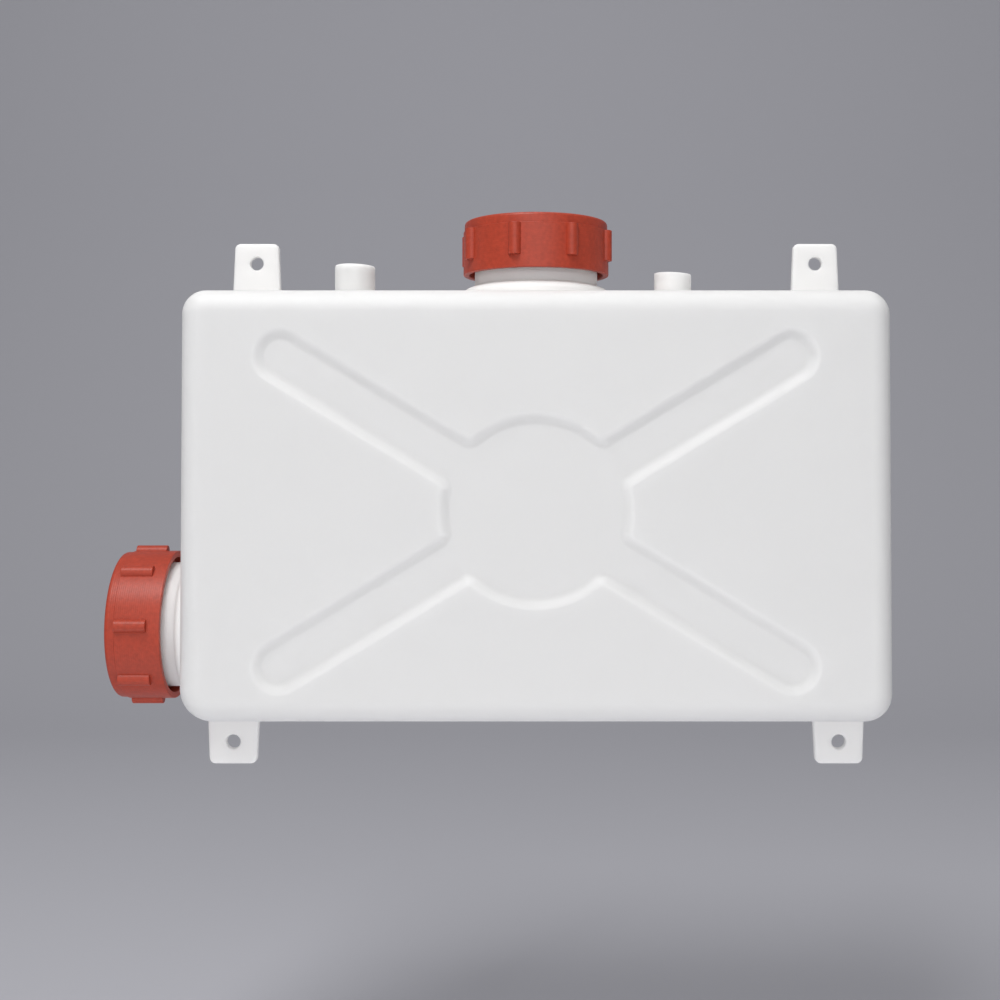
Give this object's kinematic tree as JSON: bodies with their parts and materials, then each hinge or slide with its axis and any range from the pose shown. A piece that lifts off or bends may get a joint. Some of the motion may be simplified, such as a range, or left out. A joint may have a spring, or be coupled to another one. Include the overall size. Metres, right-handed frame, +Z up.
{
  "type": "fresh water tank",
  "caption": "Wall-hung rectangular plastic fresh water tank with X-shaped stiffening recesses, threaded top and side spouts closed by red screw caps, mounting tabs and a vent stub.",
  "frame": {"origin": "on the tank's back plane, midway between the holes of the two upper mounting tabs", "axes": "+X to the right of someone facing the tank, +Y into the wall it hangs on, +Z up"},
  "size_m": [0.5105, 0.152, 0.3706],
  "materials": {
    "natural_hdpe": "natural blow-moulded polyethylene, slightly translucent, satin",
    "red_polypropylene": "moulded brick-red polypropylene, satin",
    "black_epdm": "food-grade black rubber, matt"
  },
  "bodies": {
    "tank": {"tank_shell": "natural_hdpe"},
    "top_gasket": {"top_cap_gasket": "black_epdm"},
    "top_cap": {"top_cap": "red_polypropylene"},
    "side_gasket": {"side_cap_gasket": "black_epdm"},
    "side_cap": {"side_cap": "red_polypropylene"}
  },
  "joints": [
    {"name": "top_cap_lift", "type": "slide", "parent": "tank", "child": "top_gasket", "axis": [0, 0, 1], "range_m": [0, 0.0361]},
    {"name": "top_cap_turn", "type": "hinge", "parent": "top_gasket", "child": "top_cap", "pos_m": [0, -0.076, 0], "axis": [0, 0, 1], "range_deg": [0, 2160]},
    {"name": "side_cap_draw", "type": "slide", "parent": "tank", "child": "side_gasket", "axis": [-1, 0, 0], "range_m": [0, 0.0361]},
    {"name": "side_cap_turn", "type": "hinge", "parent": "side_gasket", "child": "side_cap", "pos_m": [-0.265, -0.076, -0.2579], "axis": [-1, 0, 0], "range_deg": [0, 2160]}
  ],
  "couplings": [
    {"joint": "top_cap_lift", "follows": "top_cap_turn", "m_per_rad": 0.00095493},
    {"joint": "side_cap_draw", "follows": "side_cap_turn", "m_per_rad": 0.00095493}
  ]
}
